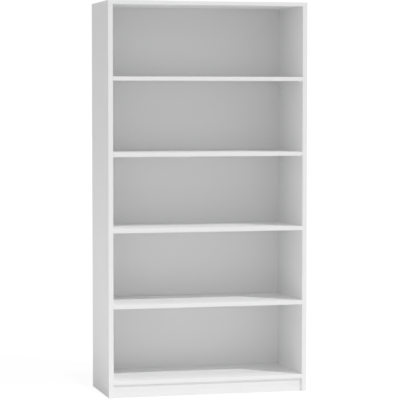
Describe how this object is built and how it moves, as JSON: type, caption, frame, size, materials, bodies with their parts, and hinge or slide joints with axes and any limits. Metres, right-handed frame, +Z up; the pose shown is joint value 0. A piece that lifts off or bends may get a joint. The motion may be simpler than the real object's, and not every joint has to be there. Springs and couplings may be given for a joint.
{
  "type": "bookcase with adjustable shelves",
  "caption": "Tall open bookcase with a full-width top, a slightly recessed plinth, a fixed middle shelf and loose shelves on pull-out supports.",
  "frame": {"origin": "centre of the footprint, on the floor", "axes": "+Z up, the open front faces -Y, the back stands at +Y, +X to the right seen from the front"},
  "size_m": [0.956, 0.395, 1.854],
  "materials": {
    "melamine_board": "white melamine, fine pearl texture, satin",
    "edging": "smooth white plastic edging, satin",
    "fibreboard": "white lacquer inside, bare brown fibre outside",
    "zinc": "die-cast zinc, matt",
    "plated_steel": "bright zinc plating",
    "beech": "bare beech",
    "white_plastic": "moulded, satin"
  },
  "bodies": {
    "case": {"left_side": "melamine_board", "right_side": "melamine_board", "top_panel": "melamine_board", "bottom_panel": "melamine_board", "plinth_board": "melamine_board", "back_panel": "fibreboard", "fixed_shelf": "melamine_board", "left_side_edging": "edging", "right_side_edging": "edging", "top_edging": "edging", "bottom_edging": "edging", "plinth_edging": "edging", "fixed_shelf_edging": "edging", "top_cams": "zinc", "bottom_cams": "zinc", "fixed_shelf_cams": "zinc", "plinth_cams": "zinc", "top_cam_bolts": "plated_steel", "bottom_cam_bolts": "plated_steel", "fixed_shelf_cam_bolts": "plated_steel", "plinth_cam_bolts": "plated_steel", "top_dowels": "beech", "bottom_dowels": "beech", "fixed_shelf_dowels": "beech", "plinth_dowels": "beech", "top_cam_caps": "white_plastic", "fixed_shelf_cam_caps": "white_plastic", "back_nails": "plated_steel", "glides": "white_plastic", "glide_nails": "plated_steel", "wall_brackets": "plated_steel", "wall_bracket_screws": "plated_steel"},
    "lower_shelf": {"lower_shelf": "melamine_board", "lower_shelf_edging": "edging"},
    "middle_shelf": {"middle_shelf": "melamine_board", "middle_shelf_edging": "edging"},
    "upper_shelf": {"upper_shelf": "melamine_board", "upper_shelf_edging": "edging"},
    "lower_support_front_left": {"lower_support_front_left": "white_plastic"},
    "lower_support_front_right": {"lower_support_front_right": "white_plastic"},
    "lower_support_rear_left": {"lower_support_rear_left": "white_plastic"},
    "lower_support_rear_right": {"lower_support_rear_right": "white_plastic"},
    "middle_support_front_left": {"middle_support_front_left": "white_plastic"},
    "middle_support_front_right": {"middle_support_front_right": "white_plastic"},
    "middle_support_rear_left": {"middle_support_rear_left": "white_plastic"},
    "middle_support_rear_right": {"middle_support_rear_right": "white_plastic"},
    "upper_support_front_left": {"upper_support_front_left": "white_plastic"},
    "upper_support_front_right": {"upper_support_front_right": "white_plastic"},
    "upper_support_rear_left": {"upper_support_rear_left": "white_plastic"},
    "upper_support_rear_right": {"upper_support_rear_right": "white_plastic"}
  },
  "joints": [
    {"name": "lower_shelf_slide", "type": "slide", "parent": "case", "child": "lower_shelf", "axis": [0, -1, 0], "range_m": [0, 0.39]},
    {"name": "middle_shelf_slide", "type": "slide", "parent": "case", "child": "middle_shelf", "axis": [0, -1, 0], "range_m": [0, 0.39]},
    {"name": "upper_shelf_slide", "type": "slide", "parent": "case", "child": "upper_shelf", "axis": [0, -1, 0], "range_m": [0, 0.39]},
    {"name": "lower_support_front_left_pull", "type": "slide", "parent": "case", "child": "lower_support_front_left", "axis": [1, 0, 0], "range_m": [0, 0.01]},
    {"name": "lower_support_front_right_pull", "type": "slide", "parent": "case", "child": "lower_support_front_right", "axis": [-1, 0, 0], "range_m": [0, 0.01]},
    {"name": "lower_support_rear_left_pull", "type": "slide", "parent": "case", "child": "lower_support_rear_left", "axis": [1, 0, 0], "range_m": [0, 0.01]},
    {"name": "lower_support_rear_right_pull", "type": "slide", "parent": "case", "child": "lower_support_rear_right", "axis": [-1, 0, 0], "range_m": [0, 0.01]},
    {"name": "middle_support_front_left_pull", "type": "slide", "parent": "case", "child": "middle_support_front_left", "axis": [1, 0, 0], "range_m": [0, 0.01]},
    {"name": "middle_support_front_right_pull", "type": "slide", "parent": "case", "child": "middle_support_front_right", "axis": [-1, 0, 0], "range_m": [0, 0.01]},
    {"name": "middle_support_rear_left_pull", "type": "slide", "parent": "case", "child": "middle_support_rear_left", "axis": [1, 0, 0], "range_m": [0, 0.01]},
    {"name": "middle_support_rear_right_pull", "type": "slide", "parent": "case", "child": "middle_support_rear_right", "axis": [-1, 0, 0], "range_m": [0, 0.01]},
    {"name": "upper_support_front_left_pull", "type": "slide", "parent": "case", "child": "upper_support_front_left", "axis": [1, 0, 0], "range_m": [0, 0.01]},
    {"name": "upper_support_front_right_pull", "type": "slide", "parent": "case", "child": "upper_support_front_right", "axis": [-1, 0, 0], "range_m": [0, 0.01]},
    {"name": "upper_support_rear_left_pull", "type": "slide", "parent": "case", "child": "upper_support_rear_left", "axis": [1, 0, 0], "range_m": [0, 0.01]},
    {"name": "upper_support_rear_right_pull", "type": "slide", "parent": "case", "child": "upper_support_rear_right", "axis": [-1, 0, 0], "range_m": [0, 0.01]}
  ]
}
